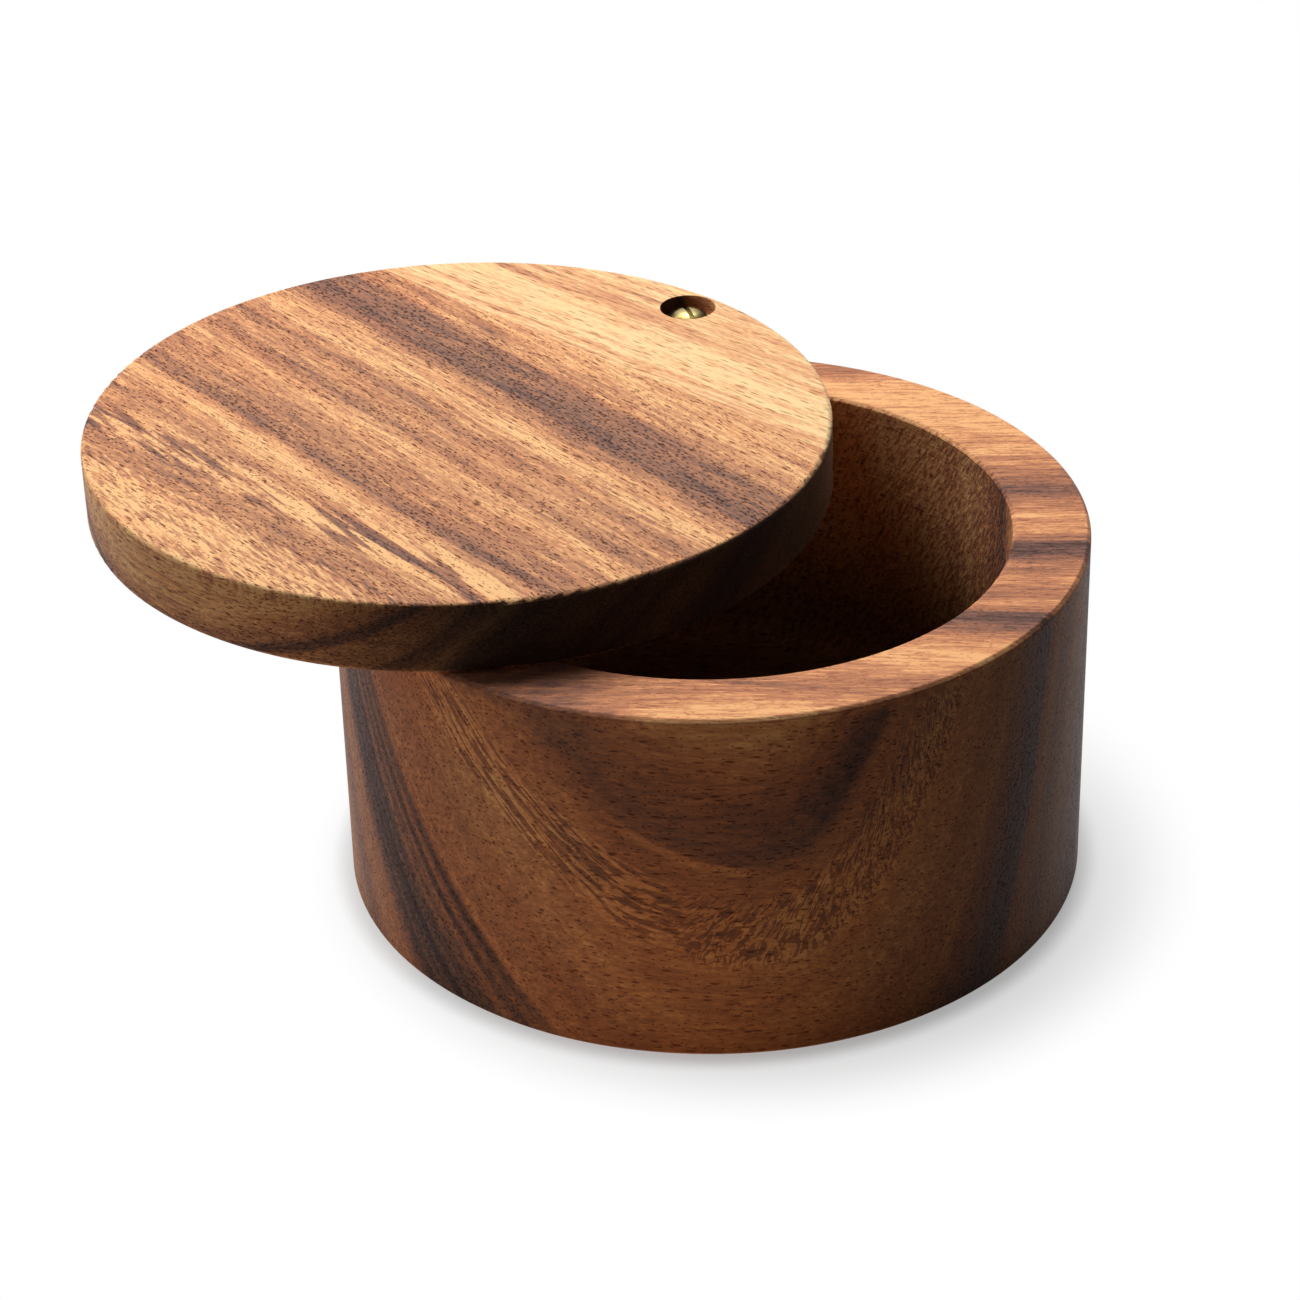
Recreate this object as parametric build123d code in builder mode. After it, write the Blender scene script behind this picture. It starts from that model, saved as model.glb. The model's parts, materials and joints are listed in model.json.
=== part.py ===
from build123d import *

import os
from math import radians, tan

# Round wooden salt box with a flat lid that swings sideways on one brass screw.
#
# Millimetres, +Z up. The origin is the centre of the base, on the surface that the box stands on.
# The screw stands upright in the back wall, on +Y. The lid is drawn part open, as it is left in
# use: closed, it covers the box exactly; from there it has swung clockwise about the screw.

# Driving dimensions, box body: one block, bored from the top
outer_diameter = 127.0
body_height = 63.7
wall_thickness = 13.0
floor_thickness = 11.5
cavity_corner_radius = 6.0
rim_edge_radius = 0.8
base_edge_radius = 1.0

# Driving dimensions, lid: two boards glued edge to edge, then cut round
lid_thickness = 12.5
lid_edge_radius = 0.8
seam_offset = 32.5
seam_tilt = -0.7
lid_opening_angle = 46.2

# Driving dimensions, counterbore: the hole that sinks the screw's head into the lid
counterbore_diameter = 10.0
counterbore_edge_margin = 1.0
head_recess = 0.5

# Driving dimensions, screw: slotted round-head brass wood screw
head_diameter = 6.8
head_height = 2.4
head_rim_height = 1.3
slot_width = 0.9
slot_depth = 1.2
slot_direction = -74.0
shank_diameter = 3.5
core_diameter = 2.5
thread_pitch = 1.41
thread_crest_width = 0.2
thread_flank_angle = 30.0
screw_engagement = 16.0
point_length = 3.5

# Driving dimensions, fits: radial play of the shank in the lid, and what the drills leave over
shank_running_clearance = 0.08
shank_entry_depth = 1.0
pilot_end_clearance = 1.0
thread_root_bury = 0.1

# Radii and heights that follow from them
outer_radius = outer_diameter / 2
cavity_radius = outer_radius - wall_thickness
head_radius = head_diameter / 2
shank_radius = shank_diameter / 2
core_radius = core_diameter / 2
counterbore_radius = counterbore_diameter / 2
counterbore_depth = head_height + head_recess
pivot_radius = outer_radius - counterbore_edge_margin - counterbore_radius
head_seat_height = body_height + lid_thickness - counterbore_depth
shank_length = head_seat_height - body_height + shank_entry_depth
screw_length = head_seat_height - body_height + screw_engagement
shank_foot = core_radius - shank_radius - shank_length
core_end = point_length - screw_length

# The thread's ridge: its root lies inside the core, its crest is as wide as the shank
thread_line_radius = core_radius - thread_root_bury
ridge_height = shank_radius - thread_line_radius
ridge_half_width = thread_crest_width / 2 + ridge_height * tan(radians(thread_flank_angle))
thread_end_gap = ridge_half_width

# Planes: the rim under the screw, the open lid (its own +Y points from its centre to the screw),
# and the screw's seat under its head, turned the way its slot points
rim_at_pivot = Plane(origin=(0, pivot_radius, body_height))
lid_plane = rim_at_pivot.rotated((0, 0, -lid_opening_angle))
lid_top_at_pivot = lid_plane.offset(lid_thickness)
screw_seat = Plane(origin=(0, pivot_radius, head_seat_height)).rotated((0, 0, slot_direction))
lid_centre = (0, -pivot_radius)

# The glue seam: an upright plane across the lid, square to its faces, facing the screw
seam_point = lid_plane.from_local_coords(Vector(0, seam_offset - pivot_radius, 0))
seam_line = Plane(origin=seam_point, x_dir=lid_plane.x_dir).rotated((0, 0, seam_tilt))
seam_plane = Plane(origin=seam_point, x_dir=seam_line.x_dir, z_dir=seam_line.y_dir)

os.makedirs("parts", exist_ok=True)


# Box body: a round block, bored out to a flat floor with a round inside corner, its rim and base
# eased. The stepped pilot hole takes the screw: the smooth shank first, then the thread's core.
with BuildPart() as box_body:
    with BuildSketch(Plane.XY):
        Circle(outer_radius)
    extrude(amount=body_height)
    with BuildSketch(Plane.XY.offset(floor_thickness)):
        Circle(cavity_radius)
    extrude(amount=body_height - floor_thickness, mode=Mode.SUBTRACT)

    circles = box_body.edges().filter_by(GeomType.CIRCLE).group_by(Axis.Z)
    base_edge = circles[0]
    cavity_floor_edge = circles[1]
    rim_edges = circles[-1]
    fillet(cavity_floor_edge, radius=cavity_corner_radius)
    fillet(base_edge, radius=base_edge_radius)
    fillet(rim_edges, radius=rim_edge_radius)

    with Locations(rim_at_pivot):
        CounterBoreHole(
            radius=core_radius,
            counter_bore_radius=shank_radius,
            counter_bore_depth=shank_entry_depth,
            depth=screw_engagement + pilot_end_clearance,
        )

box_body.part.label = "box_body"
export_step(box_body.part, "parts/box_body.step")


# Lid blank: the glued-up boards cut round and eased, with the counterbored hole for the screw
with BuildPart() as lid_blank:
    with BuildSketch(lid_plane):
        with Locations(lid_centre):
            Circle(outer_radius)
    extrude(amount=lid_thickness)
    fillet(lid_blank.edges().filter_by(GeomType.CIRCLE), radius=lid_edge_radius)
    with Locations(lid_top_at_pivot):
        CounterBoreHole(
            radius=shank_radius + shank_running_clearance,
            counter_bore_radius=counterbore_radius,
            counter_bore_depth=counterbore_depth,
        )


# Edge board: the lid's narrower board, on the screw's side of the seam
with BuildPart() as lid_edge_board:
    add(lid_blank.part)
    split(bisect_by=seam_plane, keep=Keep.TOP)

lid_edge_board.part.label = "lid_edge_board"
export_step(lid_edge_board.part, "parts/lid_edge_board.step")


# Main board: the rest of the lid
with BuildPart() as lid_main_board:
    add(lid_blank.part)
    split(bisect_by=seam_plane, keep=Keep.BOTTOM)

lid_main_board.part.label = "lid_main_board"
export_step(lid_main_board.part, "parts/lid_main_board.step")


# Pivot screw: a domed, slotted head, a smooth shank that the lid turns on, and a thread that
# winds down the core into the wall
profile_plane = Plane(origin=screw_seat.origin, x_dir=screw_seat.x_dir, z_dir=-screw_seat.y_dir)

with BuildPart() as pivot_screw:
    with BuildSketch(profile_plane):
        with BuildLine():
            dome = TangentArc((0, head_height), (head_radius, head_rim_height), tangent=(1, 0))
            Polyline(
                dome @ 1,
                (head_radius, 0),
                (shank_radius, 0),
                (shank_radius, -shank_length),
                (core_radius, shank_foot),
                (core_radius, core_end),
                (0, -screw_length),
                dome @ 0,
            )
        make_face()
    revolve(axis=Axis(screw_seat.origin, screw_seat.z_dir))

    with BuildSketch(screw_seat.offset(head_height - slot_depth)):
        Rectangle(head_diameter, slot_width)
    extrude(amount=slot_depth, mode=Mode.SUBTRACT)

    # The thread: a tapered ridge wound up the core, from the top of the point to the shank's foot.
    # It is sunk a little into the core, so that the two grow together.
    thread_foot = screw_seat.offset(core_end + thread_end_gap)
    with BuildLine() as thread_line:
        Helix(
            pitch=thread_pitch,
            height=shank_foot - core_end - 2 * thread_end_gap,
            radius=thread_line_radius,
            center=thread_foot.origin,
        )
    ridge_start = thread_line.line @ 0
    ridge_plane = Plane(
        origin=ridge_start,
        x_dir=ridge_start - thread_foot.origin,
        z_dir=thread_line.line % 0,
    )
    with BuildSketch(ridge_plane):
        Polygon(
            (0, -ridge_half_width),
            (ridge_height, -thread_crest_width / 2),
            (ridge_height, thread_crest_width / 2),
            (0, ridge_half_width),
            align=None,
        )
    sweep(path=thread_line.line, is_frenet=True)

pivot_screw.part.label = "pivot_screw"
export_step(pivot_screw.part, "parts/pivot_screw.step")
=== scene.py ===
# %% [markdown]
# # A round wooden salt box
#
# The box is one block of oiled hardwood, bored out from the top. Its lid is glued up from two
# boards and swings sideways on a brass screw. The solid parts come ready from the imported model.
# This lesson gives them their looks: it loads the parts, sets up a small studio, works out how
# wood can be described with numbers, and dresses each part in turn.

# %% Load the solid parts
import json
from math import cos, radians, sin

import bpy
from mathutils import Matrix, Vector


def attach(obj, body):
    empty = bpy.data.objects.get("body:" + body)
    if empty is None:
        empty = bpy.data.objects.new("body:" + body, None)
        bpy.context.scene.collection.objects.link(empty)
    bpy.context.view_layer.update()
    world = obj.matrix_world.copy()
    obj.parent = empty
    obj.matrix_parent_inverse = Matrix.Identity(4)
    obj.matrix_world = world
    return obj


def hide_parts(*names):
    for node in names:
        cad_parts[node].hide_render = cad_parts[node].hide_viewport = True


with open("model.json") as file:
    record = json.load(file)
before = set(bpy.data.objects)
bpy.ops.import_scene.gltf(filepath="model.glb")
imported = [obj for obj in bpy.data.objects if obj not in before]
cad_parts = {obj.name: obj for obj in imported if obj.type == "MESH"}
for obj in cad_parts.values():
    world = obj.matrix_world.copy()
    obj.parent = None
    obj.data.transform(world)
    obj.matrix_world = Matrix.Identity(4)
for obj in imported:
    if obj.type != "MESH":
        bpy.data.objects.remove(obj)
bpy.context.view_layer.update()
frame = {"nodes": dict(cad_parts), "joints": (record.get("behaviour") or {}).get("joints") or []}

mm = 0.001
swivel = Vector(frame["joints"][0]["pos_m"])
print("the lid turns about, mm:", [round(x / mm, 2) for x in swivel])

# %% [markdown]
# ## The camera
#
# The camera looks down on the box from the front, as in the photograph. A matrix whose columns
# are right, up and backwards turns it. Three angles would do as well, but directions are easier
# to read, and working out the third from the other two keeps them square to each other.

# %% Set up the camera
camera_data = bpy.data.cameras.new("studio_camera")
camera = bpy.data.objects.new("studio_camera", camera_data)
bpy.context.scene.collection.objects.link(camera)
bpy.context.scene.camera = camera

stand = Vector((-31.463, -543.617, 360.587)) * mm
look = Vector((0.03308576, 0.86044408, -0.50846959)).normalized()
right = Vector((0.99843048, -0.05145660, -0.02210889)).normalized()
up = right.cross(look)
turn = Matrix((right, up, -look)).transposed()
camera.matrix_world = Matrix.Translation(stand) @ turn.to_4x4()
camera_data.lens = 102.544
camera_data.sensor_width = 36.0
camera_data.clip_start, camera_data.clip_end = 0.01, 20.0
print("camera, mm from the box:", round(camera.location.length / mm))

# %% [markdown]
# ## Materials written as sums
#
# Wood is a solid: its rings and fibres run right through a part, and every face only cuts them.
# So the materials here are formulas of x, y and z, not pictures. Such formulas need many Math
# nodes, and a small class saves wiring them by hand: it wraps one output of a node, and each
# sum written with it adds the node that works it out.

# %% A varying number that can be used in sums
class Amount:
    """A number that changes from point to point: one output of a node."""

    def __init__(self, tree, socket):
        self.tree, self.socket = tree, socket

    def worked(self, operation, *terms):
        return self.tree.add("ShaderNodeMath", {"operation": operation}, dict(enumerate(terms)))

    def __add__(self, other):
        return self.worked("ADD", self, other)

    def __sub__(self, other):
        return self.worked("SUBTRACT", self, other)

    def __rsub__(self, other):
        return self.worked("SUBTRACT", other, self)

    def __mul__(self, other):
        return self.worked("MULTIPLY", self, other)

    def __truediv__(self, other):
        return self.worked("DIVIDE", self, other)

    __radd__ = __add__
    __rmul__ = __mul__


def distance(x, y):
    """How far a point lies from an axis, from its two sideways steps."""
    return x.worked("SQRT", x * x + y * y)


def bearing(y, x):
    """The angle about an axis, in radians, from the same two steps."""
    return y.worked("ARCTAN2", y, x)


def larger(first, second):
    return first.worked("MAXIMUM", first, second)


# %% One method that makes any node
class Tree:
    """A node tree. add() makes a node, sets it up, and gives back one of its outputs."""

    def __init__(self, tree):
        self.tree = tree

    def add(self, kind, settings=None, sockets=None, out=0):
        node = self.tree.nodes.new(kind)
        for name, value in (settings or {}).items():
            if name == "stops":
                lay_stops(node.color_ramp, value)
            elif name == "blending":
                node.color_ramp.interpolation = value
            elif name == "items":
                for _ in range(value - len(node.index_switch_items)):
                    node.index_switch_items.new()
            else:
                setattr(node, name, value)
        for name, value in (sockets or {}).items():
            if isinstance(value, Amount):
                self.tree.links.new(value.socket, node.inputs[name])
            else:
                node.inputs[name].default_value = value
        return Amount(self, node.outputs[out]) if node.outputs else node


class Finish(Tree):
    """One material."""

    def __init__(self, name):
        self.material = bpy.data.materials.new(name)
        self.material.use_nodes = True
        super().__init__(self.material.node_tree)
        self.tree.nodes.clear()

    def show(self, surface):
        self.add("ShaderNodeOutputMaterial", sockets={"Surface": surface})
        print(self.material.name, "uses", len(self.tree.nodes), "nodes")
        return self.material


# %% Colours
def lay_stops(ramp, stops):
    """Places a colour ramp's stops: (position from 0 to 1, colour)."""
    while len(ramp.elements) > 1:
        ramp.elements.remove(ramp.elements[-1])
    ramp.elements[0].position, ramp.elements[0].color = stops[0]
    for position, colour in stops[1:]:
        ramp.elements.new(position).color = colour


def paint(red, green, blue):
    """A colour as a screen shows it, 0 to 255, in the linear light that shaders count in."""
    parts = [c / 255 for c in (red, green, blue)]
    return (*(c / 12.92 if c <= 0.04045 else ((c + 0.055) / 1.055) ** 2.4 for c in parts), 1.0)


def grey(level):
    return (level, level, level, 1.0)


def blended(amount, first, second, way="MIX"):
    """The first colour, going over to the second (or seen through it) as the amount rises."""
    sockets = {0: amount, 6: first, 7: second}
    return amount.tree.add("ShaderNodeMix", {"data_type": "RGBA", "blend_type": way}, sockets, out=2)


print("straw yellow, as shaders count it:", [round(c, 3) for c in paint(255, 203, 144)])

# %% [markdown]
# ## The studio
#
# The box stands on a white sweep. Two large lamps hang behind it, one straight back and one to
# the left, with a weak one at its left: the flat tops are bright and the sides stay deep. The
# camera sees a white floor that fades to pure white away from the box and keeps a soft shadow.
# To the light, only the floor at the front left of the box is warm and bright, as under a low
# reflector, and that is what models the round front. The Light Path node tells both apart.

# %% The floor
floor_half = 3.0
floor_mesh = bpy.data.meshes.new("studio_floor")
corners = [(x * floor_half, y * floor_half, 0.0) for x, y in ((-1, -1), (1, -1), (1, 1), (-1, 1))]
floor_mesh.from_pydata(corners, [], [(0, 1, 2, 3)])
floor = bpy.data.objects.new("studio_floor", floor_mesh)
bpy.context.scene.collection.objects.link(floor)
print("the floor is", 2 * floor_half, "m wide")


# %% Two masks for the floor and the world
def seen_white(tree):
    """1 for the camera, for gloss and for glass, 0 for the light that falls on things."""
    camera_ray, glossy, through = [
        tree.add("ShaderNodeLightPath", out=kind)
        for kind in ("Is Camera Ray", "Is Glossy Ray", "Is Transmission Ray")
    ]
    any_of_them = {0: camera_ray + glossy, 1: through}
    return tree.add("ShaderNodeMath", {"operation": "ADD", "use_clamp": True}, any_of_them)


def fading(place, centre, full, gone):
    """1 up to the distance full from a point of the floor, 0 from the distance gone on."""
    tree = place.tree
    gap = tree.add("ShaderNodeVectorMath", {"operation": "SUBTRACT"}, {0: place, 1: centre})
    away = tree.add("ShaderNodeVectorMath", {"operation": "LENGTH"}, {0: gap}, out="Value")
    limits = {"Value": away, "From Min": full, "From Max": gone, "To Min": 1.0, "To Max": 0.0}
    return tree.add("ShaderNodeMapRange", {"interpolation_type": "SMOOTHSTEP"}, limits)


# %% The floor's finish
sweep = Finish("white_sweep")
seen = seen_white(sweep)
place = sweep.add("ShaderNodeTexCoord", out="Object")

contact = fading(place, (0, 0, 0), 0.0633, 0.068)
shadow = contact * 0.28 + fading(place, (0.007, -0.003, 0), 0.058, 0.080) * 0.34

bounce = blended(fading(place, (-0.12, -0.04, 0), 0.12, 0.28), grey(0.03), (0.35, 0.32, 0.28, 1))
matt = sweep.add("ShaderNodeBsdfDiffuse", sockets={"Color": blended(seen, bounce, grey(0.86))})

reflector = fading(place, (-0.06, -0.13, 0), 0.05, 0.13)
warm = blended(reflector * (1.0 - seen), grey(0.0), (0.34, 0.192, 0.085, 1))
warmth = sweep.add("ShaderNodeEmission", sockets={"Color": warm, "Strength": 1.0})
lit = sweep.add("ShaderNodeAddShader", sockets={0: matt, 1: warmth})
print("the floor's masks and colours use", len(sweep.tree.nodes), "nodes")

glow = sweep.add("ShaderNodeEmission", sockets={"Color": grey(1.0), "Strength": 1.0})
whitened = {0: (1.0 - shadow) * seen, 1: lit, 2: glow}
floor_mesh.materials.append(sweep.show(sweep.add("ShaderNodeMixShader", sockets=whitened)))

# %% The white surroundings
world = bpy.data.worlds.new("studio_world")
bpy.context.scene.world = world
world.use_nodes = True
world.node_tree.nodes.clear()
sky = Tree(world.node_tree)
white = sky.add("ShaderNodeBackground", sockets={"Color": grey(1.0), "Strength": 1.0})
dim = sky.add("ShaderNodeBackground", sockets={"Color": grey(1.0), "Strength": 0.012})
around = sky.add("ShaderNodeMixShader", sockets={0: seen_white(sky), 1: dim, 2: white})
sky.add("ShaderNodeOutputWorld", sockets={"Surface": around})
print("the world uses", len(world.node_tree.nodes), "nodes")


# %% The lamps
def hang_lamp(name, at, watts, width=0.6):
    """A square soft lamp, aimed at the middle of the box."""
    data = bpy.data.lights.new(name, "AREA")
    data.shape, data.size, data.energy = "SQUARE", width, watts
    lamp = bpy.data.objects.new(name, data)
    bpy.context.scene.collection.objects.link(lamp)
    lamp.location = at
    aim = Vector((-0.02, 0, 0.04)) - lamp.location
    lamp.rotation_mode = "QUATERNION"
    lamp.rotation_quaternion = aim.to_track_quat("-Z", "Y")
    print(name, round(aim.length, 2), "m away,", watts, "W")


hang_lamp("lamp_back", (0.0, 0.55, 1.05), 9.0)
hang_lamp("lamp_left_back", (-0.60, 0.50, 0.95), 7.1)
hang_lamp("lamp_left", (-1.10, 0.10, 0.36), 1.9)

bpy.context.scene.view_settings.view_transform = "Standard"

# %% [markdown]
# ## Wood in numbers
#
# A board is told apart by three things. Its rings give broad bands of light and dark. Its
# fibres give fine streaks along the grain. Its pores, cut open by the tool, are short dark
# dashes along the grain and dots on end grain. The helpers below make each of them from
# lengths in millimetres: along the fibres, across them, and through the board.

# %% Where a point lies in its board
def board_axes(wood, centre=(0, 0, 0), turn=0.0, dip=0.0):
    """Millimetres along, across and through a board that is turned and dips by these degrees."""
    place = wood.add("ShaderNodeTexCoord", out="Object")
    laid = {"Location": centre, "Rotation": (0, radians(dip), radians(turn)), "Scale": (mm, mm, mm)}
    settled = wood.add("ShaderNodeMapping", {"vector_type": "TEXTURE"}, {"Vector": place} | laid)
    return [wood.add("ShaderNodeSeparateXYZ", sockets={0: settled}, out=axis) for axis in "XYZ"]


def cells(axes, sizes, shift=0.0):
    """The same three lengths, counted in steps of these sizes."""
    tree = axes[0].tree
    joined = tree.add("ShaderNodeCombineXYZ", sockets=dict(enumerate(axes)))
    steps = {"Location": (shift, shift * 0.7, shift * 0.3), "Scale": [1 / size for size in sizes]}
    return tree.add("ShaderNodeMapping", {"vector_type": "POINT"}, {"Vector": joined} | steps)


# %% Soft patches, and zones with soft ends
def mottle(axes, sizes, detail=2.0, roughness=0.55, shift=0.0, distortion=0.0):
    """Soft random light and dark, about -1 to 1, with patches of these sizes."""
    pattern = {"Scale": 1.0, "Detail": detail, "Roughness": roughness, "Distortion": distortion}
    where = {"Vector": cells(axes, sizes, shift)}
    return (axes[0].tree.add("ShaderNodeTexNoise", sockets=where | pattern) - 0.5) * 2.0


def zone(value, start, full, end=None, gone=None):
    """0 before start, 1 from full on; with end and gone it falls back to 0."""
    smooth = {"interpolation_type": "SMOOTHSTEP"}
    up = {"Value": value, "From Min": start, "From Max": full}
    rise = value.tree.add("ShaderNodeMapRange", smooth, up)
    if end is None:
        return rise
    down = {"Value": value, "From Min": end, "From Max": gone, "To Min": 1.0, "To Max": 0.0}
    return rise * value.tree.add("ShaderNodeMapRange", smooth, down)


# %% The rings: a scale of darkness across them
def rings(value, bands):
    """How dark the wood is, 0 to 1, at a place across its rings; bands are (mm, darkness)."""
    first, last = bands[0][0], bands[-1][0]
    stops = [((at - first) / (last - first), grey(dark)) for at, dark in bands]
    print(len(bands), "bands, from", first, "to", last, "mm across the rings")
    scale = {"blending": "EASE", "stops": stops}
    return value.tree.add("ShaderNodeValToRGB", scale, {"Fac": (value - first) / (last - first)})


# %% The pores: small slits along the fibres
def pores(axes, length, width, share, shift=0.0):
    """1 inside a pore, 0 outside; share is how much of each cell its pore takes up."""
    where = {"Vector": cells(axes, (length, width, width), shift), "Scale": 1.0, "Randomness": 1.0}
    gap = axes[0].tree.add("ShaderNodeTexVoronoi", {"feature": "F1"}, where)
    slit = {"Value": gap, "From Min": share * 0.5, "From Max": share, "To Min": 1.0, "To Max": 0.0}
    return gap.tree.add("ShaderNodeMapRange", {"interpolation_type": "SMOOTHSTEP"}, slit)


def dots_and_dashes(axes, dark, shift=0.0):
    """Both kinds of pore: short dots that crowd in dark wood, and longer dashes in light wood."""
    crowd = zone(dark, 0.15, 0.55)
    patchy = mottle(axes, (14, 2.5, 3.0), shift=shift + 40)
    dots = pores(axes, 1.15, 0.70, 0.25 + crowd * 0.17 + patchy * 0.10, shift)
    dashes = pores(axes, 4.0, 0.90, 0.28 - crowd * 0.05 + patchy * 0.10, shift + 17)
    return larger(dots, dashes)


# %% The streaks along the fibres
def grain(axes, shift=0.0):
    """Streaks at three scales: broad ones, fine ones, and the grit between them."""
    broad = mottle(axes, (50, 2.0, 4.0), detail=2, shift=shift)
    fine = mottle(axes, (9, 0.75, 1.0), detail=2, roughness=0.6, shift=shift + 8)
    grit = mottle(axes, (1.5, 0.36, 0.4), detail=1, shift=shift + 15)
    return broad, fine, grit


# %% [markdown]
# ## From darkness to colour
#
# The light wood of this tree is the colour of straw, the heart is a warm brown, and the
# darkest rings turn to a purplish grey. One colour ramp holds that scale. Every band, streak
# and pore only says how dark the wood is, so that all of them stay in the same family. Oil and
# dirt are stains that multiply the colour, as a clear varnish with a tint would.

# %% The scale of colours
acacia = [
    (0.0, paint(255, 203, 144)), (0.1, paint(238, 177, 126)), (0.25, paint(212, 152, 111)),
    (0.4, paint(187, 132, 100)), (0.55, paint(162, 116, 93)), (0.7, paint(136, 101, 87)),
    (0.85, paint(110, 84, 76)), (1.0, paint(80, 61, 57)),
]
pore_brown = (0.21, 0.115, 0.10, 1)
redder = (1.0, 0.88, 0.84, 1)
print("the wood's scale has", len(acacia), "colours")


# %% Oiled wood
def oiled(wood, scale, dark, pore, relief, stains, in_pores=pore_brown):
    """Colours, gloss and fine relief of oiled wood, from its darkness, its pores and its stains."""
    colour = wood.add("ShaderNodeValToRGB", {"stops": scale}, {"Fac": dark + pore * 0.06})
    for amount, stain in [(pore * 0.85, in_pores)] + stains:
        colour = blended(amount, colour, stain, "MULTIPLY")
    raised = {"Strength": 0.6, "Distance": 0.08 * mm, "Height": relief - pore * 1.2}
    bump = wood.add("ShaderNodeBump", sockets=raised)
    gloss = {"Roughness": 0.46 + pore * 0.25 + relief * 0.04, "Specular IOR Level": 0.05}
    skin = {"Base Color": colour, "Normal": bump} | gloss
    return wood.show(wood.add("ShaderNodeBsdfPrincipled", sockets=skin))


# %% End grain with painted shade, and rubbed edges with a painted highlight
def end_grain(wood, fibre_turn, start, full):
    """1 where the face at one end cuts straight across the fibres: it is darkened for more oil and as
    painted shade.
    """
    facing = wood.add("ShaderNodeTexCoord", out="Normal")
    fibre = (cos(radians(fibre_turn)), sin(radians(fibre_turn)), 0)
    both = {0: facing, 1: fibre}
    square_on = wood.add("ShaderNodeVectorMath", {"operation": "DOT_PRODUCT"}, both, out="Value")
    return zone(square_on, start, full)


def pale_edge_wear_and_highlight(x, y, below_top):
    """1 on a board's rounded top edge, paler in places: partly rubbed by hands, partly a painted
    highlight.
    """
    on_edge = zone(distance(x, y), 62.4, 62.9) * zone(below_top, -1.0, -0.6)
    return on_edge * zone(mottle((x, y, below_top), (4, 4, 4), shift=50), -0.4, 0.4)


# %% [markdown]
# ## The lid's main board
#
# The grain of this board falls about seven degrees from the glue seam, and its rings lean
# through its thickness, so the bands of the top come down slanting on the edge. Two rings are
# dark and full of pores. Near the front the rings lie almost level with the face, and there
# the cut breaks them up into small flames. A ring is found by adding the tilted lengths up,
# which is simpler than bending a picture of it.

# %% Across its rings
lid_turn = -46.2
lid_centre = swivel + Matrix.Rotation(radians(lid_turn), 3, "Z") @ Vector((0, -57.5 * mm, 12.5 * mm))
grain_fall = -7.0
ring_lean = 1.3

main = Finish("acacia_main_board")
along, across, up_through = board_axes(main, lid_centre, lid_turn + grain_fall)
beside, forward, _ = board_axes(main, lid_centre, lid_turn)
wander = mottle((along, across, up_through), (70, 14, 14), detail=1.5, shift=3.1)
ripple = mottle((along, across, up_through), (16, 5, 8), detail=1.0, shift=6.3)
flat_part = zone(across, -46, -34)
level = across - (1 - flat_part) * along * 0.07
ring = level - up_through * ring_lean + wander * 0.9 + ripple * 0.5
axes = (along, ring, across * 0.8 + up_through * 1.6)
print("centre of the lid, mm:", [round(x / mm, 1) for x in lid_centre])

# %% Its bands of light and dark
main_board_rings = [
    (-80, 0.30), (-62, 0.08), (-54, 0.09), (-50, 0.22), (-48, 0.37), (-45.5, 0.40), (-42, 0.26),
    (-38, 0.23), (-36, 0.37), (-34, 0.25), (-32, 0.09), (-30, 0.04), (-28, 0.24), (-26, 0.55),
    (-24.2, 0.50), (-22, 0.33), (-18, 0.31), (-14.5, 0.14), (-12, 0.22), (-9.3, 0.45), (-6.5, 0.26),
    (-4, 0.26), (-2, 0.43), (0, 0.25), (3.8, 0.10), (6.5, 0.17), (10, 0.40), (13.8, 0.70),
    (16.5, 0.59), (20, 0.57), (24, 0.28), (28, 0.13),
]
dark = rings(ring, main_board_rings)
broad, fine, grit = grain(axes)
clouds = mottle(axes, (15, 3.5, 6), detail=2, shift=43)
depth = dark + clouds * 0.16 + broad * 0.22 + fine * 0.44 + grit * 0.34

# %% Flames, slanted flecks and bright lines on its face
near_top = zone(up_through, -3.5, -0.3)
flames = zone(forward + wander * 1.5, -44.5, -42.0, -37.5, -34.5) * near_top
rightward = zone(along, -14, 6)
flame_axes = (beside, forward + beside * 0.16, up_through)
small = mottle(flame_axes, (8, 1.05, 4), detail=1.6, roughness=0.6, distortion=0.15, shift=5)
large = mottle(flame_axes, (22, 1.5, 5), detail=1.0, distortion=0.35, shift=9)
tongues = zone(small, -0.28, 0.30) * (1.0 - rightward)
tongues = tongues + zone(large + small * 0.2, -0.14, 0.16) * rightward

front = (1.0 - zone(forward, -50, -47)) * near_top
fleck_axes = (beside, forward + beside * 0.30, up_through)
flecks = mottle(fleck_axes, (3.6, 0.55, 3), detail=1.2, shift=11)

wavy = mottle((along, ring + ripple * 0.6, up_through), (28, 0.42, 2), detail=1.0, shift=29)
bright_lines = zone(ring, 0.5, 2.5, 7.5, 10) * zone(wavy, 0.12, 0.32)
depth = depth + (tongues * 0.62 - 0.28) * flames + front * flecks * 0.62 - bright_lines * 0.28
print("with its face, the main board uses", len(main.tree.nodes), "nodes")

# %% Its edge: two darker bands, and pores cut across
# Painted highlight and wear: the rounded top edge is made paler in places.
depth = depth - pale_edge_wear_and_highlight(beside, forward, up_through) * 0.12
on_side = zone(distance(beside, forward), 62.6, 63.2)
side_bands = zone(ring, -47, -45.6, -44.6, -43.4) * 0.34 + zone(ring, -37, -35, -33, -30) * 0.22
depth = depth + on_side * side_bands
cut_across = pores(axes, 4.5, 1.5, 0.22 + clouds * 0.10, 33) * on_side
pore = larger(dots_and_dashes(axes, dark), cut_across)
print("with its edge, the main board uses", len(main.tree.nodes), "nodes")

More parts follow.
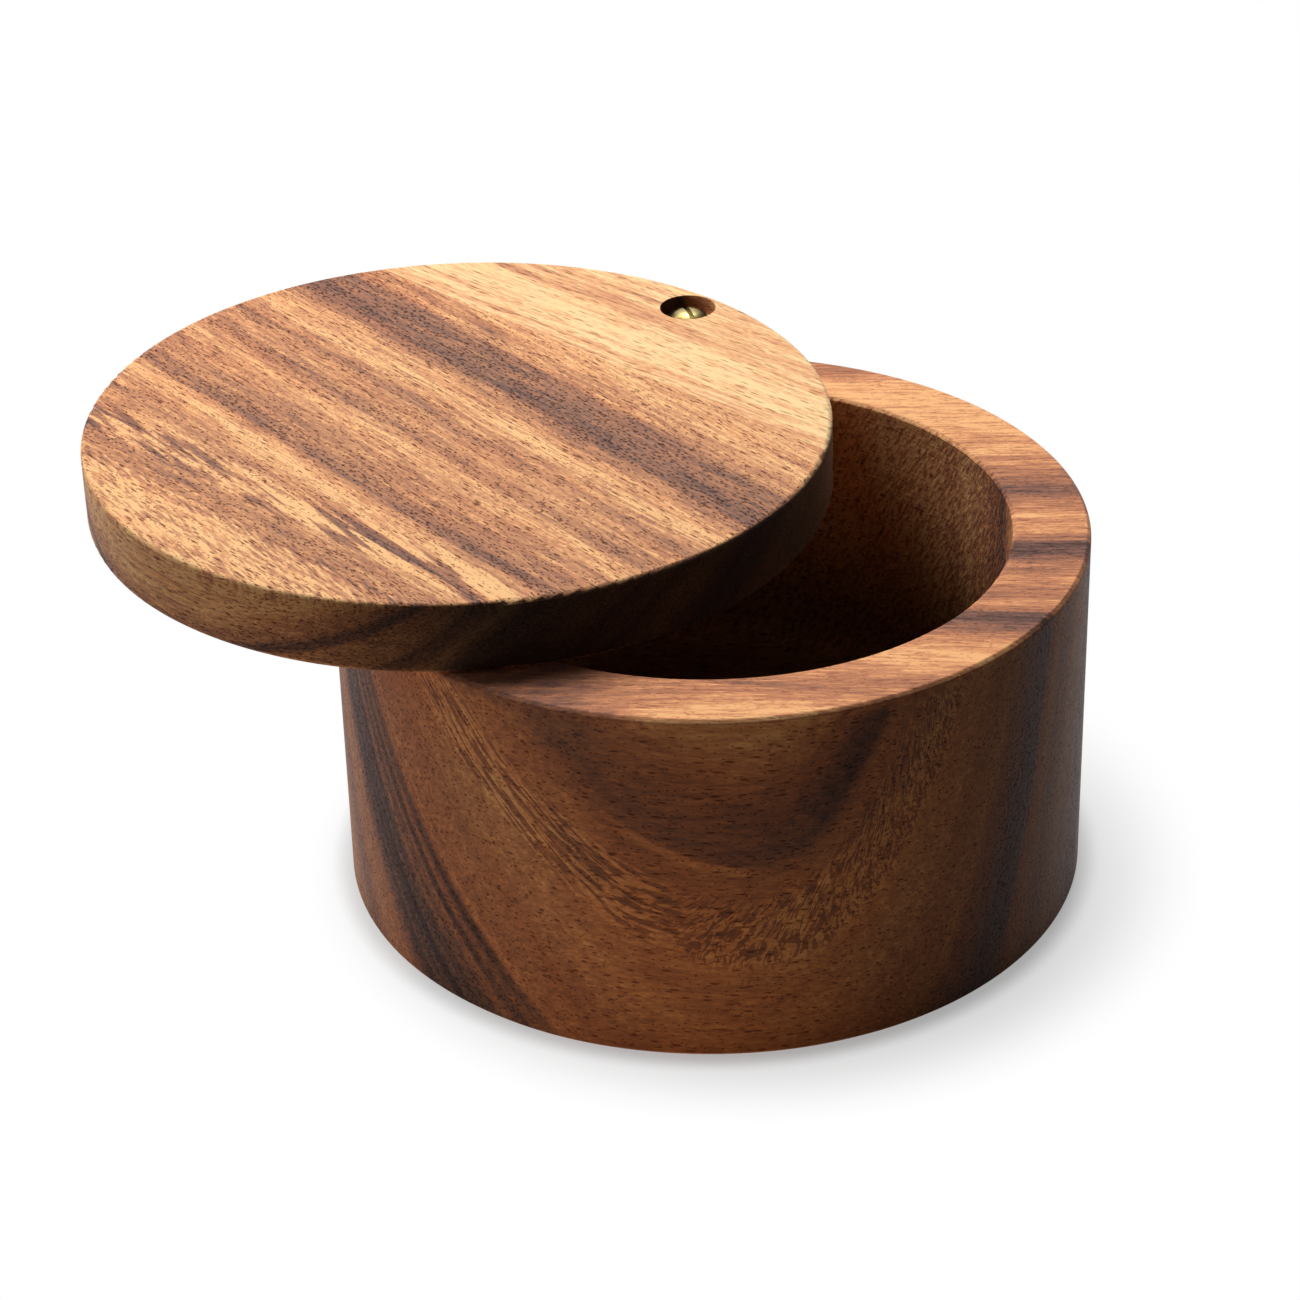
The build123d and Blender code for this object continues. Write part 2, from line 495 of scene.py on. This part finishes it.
# %% Dress the main board
redness = zone(mottle(axes, (30, 4, 4), shift=21), -0.2, 0.5) * 0.6
redness = redness + (1.0 - zone(beside, -50, -15)) * 0.3
# Painted shade: the board's end-grain side is darkened almost to black, only partly for the extra oil
# that end grain drinks.
oil_and_painted_shade = end_grain(main, lid_turn + grain_fall, 0.38, 0.90)
stains = [(redness, redder), (oil_and_painted_shade, (0.07, 0.08, 0.10, 1))]
main_finish = oiled(main, acacia, depth, pore, fine, stains)
frame["nodes"]["lid_main_board"].material_slots[0].material = main_finish

# %% [markdown]
# ## The lid's edge board
#
# The narrow board by the screw is much paler. A band of straw-coloured sapwood crosses it,
# with tan wood on both sides, and its pores are few. It gets a scale of colours of its own,
# and the counterbore's wall is darker, as painted shade.

# %% Its scale and its rings
sapwood = [
    (0.0, paint(255, 222, 164)), (0.2, paint(247, 189, 136)), (0.45, paint(219, 156, 116)),
    (0.7, paint(170, 120, 93)), (1.0, paint(98, 72, 60)),
]
edge_board_rings = [
    (20, 0.30), (31, 0.24), (34.5, 0.14), (37.5, 0.04), (43, 0.0), (46, 0.05), (48.5, 0.16),
    (51, 0.30), (54.5, 0.22), (60, 0.16), (70, 0.30),
]
pore_tan = (0.34, 0.14, 0.06, 1)

edge = Finish("acacia_edge_board")
along, across, up_through = board_axes(edge, lid_centre, lid_turn + 1.0)
beside, forward, _ = board_axes(edge, lid_centre, lid_turn)
wander = mottle((along, across, up_through), (60, 12, 12), detail=1.5, shift=13)
ring = across + up_through * 0.7 + wander * 1.2
axes = (along, ring, across * 0.8 + up_through * 1.6)
dark = rings(ring, edge_board_rings)

# %% Its streaks, its pores and the counterbore's painted shade
broad, fine, grit = grain(axes, shift=2)
from_screw = board_axes(edge, (swivel.x, swivel.y, lid_centre.z))
near_screw = 1.0 - zone(distance(from_screw[0], from_screw[1]), 5.05, 5.25)
# Painted shade: the counterbore's wall is darkened.
painted_bore_shade = near_screw * (1.0 - zone(up_through, -0.5, -0.1))
depth = dark + broad * 0.46 + fine * 0.52 + grit * 0.34 + painted_bore_shade * 0.26
# Painted highlight and wear: the rounded top edge is made paler in places.
depth = depth - pale_edge_wear_and_highlight(beside, forward, up_through) * 0.12
pore = pores(axes, 5.5, 0.80, 0.26 + broad * 0.22) * 0.8
print("the edge board's pattern uses", len(edge.tree.nodes), "nodes")

# %% Dress the edge board
redness = zone(mottle(axes, (40, 6, 6), shift=31), -0.2, 0.5) * 0.4
# Painted shade: the edge board's end-grain side is darkened, only partly for the extra oil that end
# grain drinks.
oil_and_painted_shade = end_grain(edge, lid_turn, 0.50, 0.85)
stains = [(redness, redder), (oil_and_painted_shade, (0.14, 0.15, 0.19, 1))]
edge_finish = oiled(edge, sapwood, depth, pore, fine, stains, pore_tan)
frame["nodes"]["lid_edge_board"].material_slots[0].material = edge_finish

# %% [markdown]
# ## The box body
#
# The block was cut close to the tree's pith: in front of the box and high above it lies the
# centre of its rings, and it leans from left to right. A ring is then all points at one
# distance from that slanting centre line. Where the round wall cuts the rings they draw the
# deep U of the front, and where the flat rim cuts them they run as nearly straight lines.

# %% Distance from the pith
body = Finish("acacia_box_body")
along, across, up_through = board_axes(body, (0, 0, 0), -2.0)
pith_across = -67.5 - along * 0.258 + along * along * 0.0032
pith_up = 279.5 - along * 0.334 + along * along * 0.01342
upright_stretch = 0.1614
from_pith = distance(across - pith_across, (up_through - pith_up) * upright_stretch)

wander = mottle((along, across, up_through), (50, 22, 22), detail=1.5, shift=1.7)
left_bulge = 1.0 - zone(along, -45, -15)
plain_ring = from_pith + wander * 0.15
ring = from_pith + wander * 0.35 + left_bulge * 0.9
print("a ring's distance from the pith uses", len(body.tree.nodes), "nodes")

# %% Its bands of light and dark
body_rings = [
    (33, 0.01), (35.6, 0.05), (36.6, 0.24), (38, 0.36), (39.4, 0.34), (42.2, 0.20), (44, 0.02),
    (48, 0.23), (49.6, 0.48), (51, 0.58), (52.2, 0.84), (53.8, 0.80), (55.2, 0.33), (56.6, 0.22),
    (58.6, 0.47), (60, 0.39), (62.3, 0.24), (66, 0.42), (70.6, 0.84), (72.4, 0.90), (73.8, 0.46),
    (76, 0.22), (80, 0.14), (84, 0.31), (88.8, 0.70), (92, 0.52), (99, 0.25), (103, 0.07),
    (106, 0.22), (109, 0.06), (126, 0.03), (131, 0.38),
]
dark = rings(ring, body_rings)

# %% The places on the block
rim_height = 63.7
below_rim = rim_height - up_through
lower = zone(below_rim, 0, 3)
on_rim = 1.0 - lower
radius = distance(along, across)
outside = zone(radius, 62.5, 63.2) * lower
inside = (1.0 - zone(radius, 50.6, 51.2)) * zone(up_through, 5, 8)
on_wall = inside * zone(radius, 47, 50)
print("the rim lies", rim_height, "mm above the base")

# %% [markdown]
# ## The figure in the U
#
# Inside the U lies a dark heart. Round it runs a ribbon of changing grain: at the left the cut
# shows long fine lines along the rings, and at the right short feathered strokes that fan out
# from one point. Both are stretched noise. What differs is the lengths it is stretched along:
# the strokes follow a bearing about that point, bent a little on the way out.

# %% The heart and the bright line under it
rightward = zone(along, 0, 20)
leaning = ring + zone(along, 10, 32) * 1.5
heart = zone(leaning, 36.0, 38.6, 39.0, 39.9) * (0.17 + rightward * 0.19)
heart = heart + zone(leaning, 38.1, 38.7, 39.0, 39.4) * rightward * 0.08
bright = zone(leaning, 39.4, 39.55, 39.65, 39.9) * zone(along, -20, -12, 0, 8) * 0.26
print("with its heart, the body uses", len(body.tree.nodes), "nodes")

# %% The feathered ribbon
ribbon_ring = ring - left_bulge * 1.6
widening = zone(along, 8, 30) * 1.2
ribbon = zone(ribbon_ring + widening, 40.2, 40.9) * (1.0 - zone(ribbon_ring, 42.3, 42.8))
to_outer_edge = (42.9 - ring) * 3.85
fan = bearing(up_through - 60.0, along + 2.0) * 35.0
barbs = fan - to_outer_edge * to_outer_edge * 0.12
feather = mottle((barbs, ring, across), (0.85, 0.34, 5), detail=1.0, distortion=1.1, shift=5)
line_axes = (ring + along * 0.03, along, across)
lines = mottle(line_axes, (0.15, 4.5, 6), detail=1.0, distortion=0.45, shift=25)
right_part = zone(along, -12, -2)
figure = zone(feather, -0.10, 0.14) * right_part + zone(lines, -0.08, 0.14) * (1.0 - right_part)
print("with its ribbon, the body uses", len(body.tree.nodes), "nodes")

# %% The thin lines and fine rings beside it
first_line = zone(plain_ring, 47.9, 48.2, 48.3, 48.65)
second_line = zone(plain_ring, 48.8, 49.05, 49.15, 49.5) * 0.7
thin_lines = (first_line + second_line) * left_bulge * 0.34
even_part = zone(ring, 42.6, 43.8, 46.0, 48.5) * lower * 0.15
fine_rings = mottle((ring, along, across), (0.5, 60, 30), detail=1.0, shift=33)
fine_rings = fine_rings * zone(ring, 47, 48.5, 53, 57) * left_bulge * 0.40
print("with its fine lines, the body uses", len(body.tree.nodes), "nodes")

# %% [markdown]
# ## Tool marks, oil and painted shade on the body
#
# The inside was bored, not planed: the cutter tore the fibres of the wall a little, and it left
# fine rings that follow the tool. They go into the relief more than into the colour. The end
# grain at the right is darker, partly for oil and partly as painted shade that deepens towards
# the bottom, and painted shade darkens the cavity more the deeper it goes.

# %% Torn and turned wood inside
round_wall = bearing(across, along) * 50.0
torn_axes = (round_wall + up_through * 0.5, up_through, radius)
torn = mottle(torn_axes, (0.8, 2.0, 3), detail=1.5, shift=60) * on_wall
turned_axes = (along, across, radius + up_through)
turned = mottle(turned_axes, (60, 60, 0.35), detail=1.0, shift=70) * inside
print("with its tool marks, the body uses", len(body.tree.nodes), "nodes")

# %% Add up the body's darkness
fibre_axes = board_axes(body, (0, 0, 0), -6.0, 3.0)
broad, fine, grit = grain(fibre_axes)
ring_streaks = mottle((along, ring, up_through * 0.3), (22, 0.55, 20), detail=1.5)
# Painted shadow: the rim's front left is darkened where the lid casts its shadow.
painted_lid_shadow = (1.0 - zone(along, -28, -8)) * (1.0 - zone(across, -50, -38))
in_the_u = heart - bright + ribbon * (figure * 0.42 - 0.17)
depth = dark + in_the_u * lower + even_part + thin_lines + fine_rings
depth = depth + broad * 0.10 + fine * 0.30 + grit * 0.22 + outside * 0.06 + torn * 0.60
depth = depth + ring_streaks * (on_rim * 0.14 + 0.10) + (fine * 0.12 + painted_lid_shadow * 0.24) * on_rim
pore = dots_and_dashes(fibre_axes, dark - 0.12, shift=3) * (0.45 + lower * 0.3)
print("with its streaks and pores, the body uses", len(body.tree.nodes), "nodes")

# %% Stain and dress the body
redness = zone(mottle((along, ring, up_through * 0.3), (30, 3, 12), shift=21), -0.5, 0.3)
redness = redness + on_rim * (1.0 - redness) * 0.8
# Painted shade: the end grain at the right is darkened, more towards the bottom, only partly for oil.
oil_and_painted_shade = end_grain(body, -4.0, 0.60, 0.98) * (0.15 + zone(below_rim, 0, 62) * 0.85)
# Painted shade: the inside of the cavity is darkened more the deeper it lies.
painted_cavity_shade = inside * zone(below_rim, 8, 46)
stains = [(redness, redder), (oil_and_painted_shade, (0.36, 0.31, 0.29, 1)), (painted_cavity_shade, (0.22, 0.25, 0.24, 1))]
body_finish = oiled(body, acacia, depth, pore, fine + torn * 2.0 + turned, stains)

# %% [markdown]
# ## The turned block
#
# The body is a shape with a rule: one outline, swept round an axis, as a lathe would cut it. A
# Geometry Nodes tree can say just that. Six corners give the outline, a Fillet Curve node rounds
# them, and Curve to Mesh sweeps them round a thin spindle. This sweep leaves the faces looking
# into the wood, so Flip Faces turns them outwards. The maker eases the edges by hand with
# sandpaper, so the tree then takes a little more off the rounded edges in some places than in
# others. It only ever takes wood away, and the block keeps its size.

# %% A Geometry Nodes tree with named sizes
class Plan(Tree):
    """A Geometry Nodes tree whose sizes are inputs with names."""

    def __init__(self, name):
        super().__init__(bpy.data.node_groups.new(name, "GeometryNodeTree"))
        shape = {"in_out": "OUTPUT", "socket_type": "NodeSocketGeometry"}
        self.tree.interface.new_socket(name="Geometry", **shape)
        self.values = {}

    def size(self, name, value, kind="Float"):
        """A named input, and the value that the piece gives it."""
        entry = {"in_out": "INPUT", "socket_type": "NodeSocket" + kind}
        socket = self.tree.interface.new_socket(name=name, **entry)
        self.values[socket.identifier] = value
        return self.add("NodeGroupInput", out=name)

    def finish(self, geometry, wood):
        """Ends the tree: real faces, and the material on all of them."""
        single = self.add("GeometryNodeRealizeInstances", sockets={"Geometry": geometry})
        clad = {"Geometry": single, "Material": self.size("Wood", wood, "Material")}
        self.add("NodeGroupOutput", sockets={0: self.add("GeometryNodeSetMaterial", sockets=clad)})


# %% Run a tree and keep its mesh
def made_from(plan, name):
    """Runs the tree on an empty draft, and gives back a plain mesh object."""
    draft = bpy.data.objects.new(name + "_draft", bpy.data.meshes.new(name + "_draft"))
    bpy.context.scene.collection.objects.link(draft)
    modifier = draft.modifiers.new("plan", "NODES")
    modifier.node_group = plan.tree
    for identifier, value in plan.values.items():
        modifier[identifier] = value
    flat_faces = draft.modifiers.new("level faces", "WEIGHTED_NORMAL")
    flat_faces.weight, flat_faces.keep_sharp = 100, False
    shaped = draft.evaluated_get(bpy.context.evaluated_depsgraph_get())
    mesh = bpy.data.meshes.new_from_object(shaped)
    bpy.data.objects.remove(draft)
    mesh.name = name
    piece = bpy.data.objects.new(name, mesh)
    bpy.context.scene.collection.objects.link(piece)
    print(name, "has", len(mesh.vertices), "points and", len(mesh.polygons), "faces")
    return piece


# %% The block's sizes
block = Plan("turned_block")
outer = block.size("Outer Radius", 63.5 * mm)
height = block.size("Height", rim_height * mm)
inner = outer - block.size("Wall", 13.0 * mm)
floor_height = block.size("Floor", 11.5 * mm)
corner_radius = block.size("Inside Corner Radius", 6.0 * mm)
rim_radius = block.size("Rim Edge Radius", 0.8 * mm)
base_radius = block.size("Base Edge Radius", 1.0 * mm)
spindle = 0.5 * mm
axis_line = outer * 0.0
base_line = height * 0.0
print("the block has", len(block.values), "named sizes")


def corner(out_from_axis, above_base):
    """A corner of the outline, as the spindle's profile counts: outwards, then downwards."""
    return block.add("ShaderNodeCombineXYZ", sockets={0: out_from_axis - spindle, 1: above_base * -1.0})


# %% Draw the outline and sweep it
outline = {
    "0": (-spindle, 0, 0), "1": corner(outer, base_line), "2": corner(outer, height),
    "3": corner(inner, height), "4": corner(inner, floor_height), "5": corner(axis_line, floor_height),
}
rounding = {"1": base_radius, "2": rim_radius, "3": rim_radius, "4": corner_radius}
number = {"Index": block.add("GeometryNodeInputIndex")}
count = len(outline)
vectors, floats = [{"data_type": kind, "items": count} for kind in ("VECTOR", "FLOAT")]
places = block.add("GeometryNodeIndexSwitch", vectors, number | outline)
rounded = block.add("GeometryNodeIndexSwitch", floats, number | rounding)

points = block.add("GeometryNodeMeshLine", {"mode": "OFFSET"}, {"Count": count})
points = block.add("GeometryNodeSetPosition", sockets={"Geometry": points, "Position": places})
line = block.add("GeometryNodeMeshToCurve", sockets={"Mesh": points})
arcs = {"Curve": line, "Count": 10, "Radius": rounded}
line = block.add("GeometryNodeFilletCurve", {"mode": "POLY"}, arcs)
turns = {"Resolution": 288, "Radius": spindle}
spin = block.add("GeometryNodeCurvePrimitiveCircle", {"mode": "RADIUS"}, turns)
shell = block.add("GeometryNodeCurveToMesh", sockets={"Curve": spin, "Profile Curve": line})
shell = block.add("GeometryNodeFlipFaces", sockets={"Mesh": shell})
joined_up = {"Geometry": shell, "Distance": 0.002 * mm}
shell = block.add("GeometryNodeMergeByDistance", sockets=joined_up)
print("an outline of", count, "corners, swept in", turns["Resolution"], "steps")

# %% Ease its edges by hand
easing = block.size("Hand Easing", 0.22 * mm)
seed = block.size("Seed", 4.0)
facing = block.add("GeometryNodeInputNormal")
upward = block.add("ShaderNodeSeparateXYZ", sockets={0: facing}, out="Z")
slant = (upward * upward) * (1.0 - upward * upward) * 4.0
where = {"Vector": block.add("GeometryNodeInputPosition"), "W": seed, "Scale": 45.0, "Detail": 1.0}
patches = block.add("ShaderNodeTexNoise", {"noise_dimensions": "4D"}, where)
taken = {0: facing, "Scale": slant * patches * easing * -1.0}
offset = block.add("ShaderNodeVectorMath", {"operation": "SCALE"}, taken)
eased = block.add("GeometryNodeSetPosition", sockets={"Geometry": shell, "Offset": offset})
eased = block.add("GeometryNodeSetShadeSmooth", sockets={"Geometry": eased})
print("the tree has", len(block.tree.nodes), "nodes")

# %% Turn the block
block.finish(eased, body_finish)
turned_body = made_from(block, "turned_body")
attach(turned_body, "box")
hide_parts("box_body")

# %% [markdown]
# ## The brass screw
#
# The screw is turned brass that has dulled: its tarnish comes in small patches, its head has
# fine turning marks, and the rim of the head is darkened, partly as grime and partly as a
# painted dark reflection of the counterbore's wall.
# The head's shape is in the solid part already, so only its surface is made here.

# %% Dress the screw
brass = Finish("dulled_brass")
head_seat = 73.3
along, across, up_through = board_axes(brass, (swivel.x, swivel.y, head_seat * mm))
radius = distance(along, across)
marks = mottle((radius, along * 0.02, up_through), (0.12, 1, 0.12), detail=2)
tarnish = zone(mottle((along, across, up_through), (1.6, 1.6, 1.6), shift=4), -0.3, 0.6)
# Grime and painted reflection: the outer part of the head is darkened, standing in for the dark
# counterbore wall it mirrors.
grime_and_dark_reflection = zone(radius, 1.3, 2.9)
colour = blended(tarnish, paint(190, 174, 116), paint(134, 116, 70))
colour = blended(grime_and_dark_reflection, colour, (0.16, 0.14, 0.08, 1), "MULTIPLY")
relief = {"Strength": 0.4, "Distance": 0.02 * mm, "Height": marks}
skin = {"Base Color": colour, "Metallic": 1.0, "Roughness": 0.26 + tarnish * 0.14}
skin["Normal"] = brass.add("ShaderNodeBump", sockets=relief)
brass_finish = brass.show(brass.add("ShaderNodeBsdfPrincipled", sockets=skin))
frame["nodes"]["pivot_screw"].material_slots[0].material = brass_finish
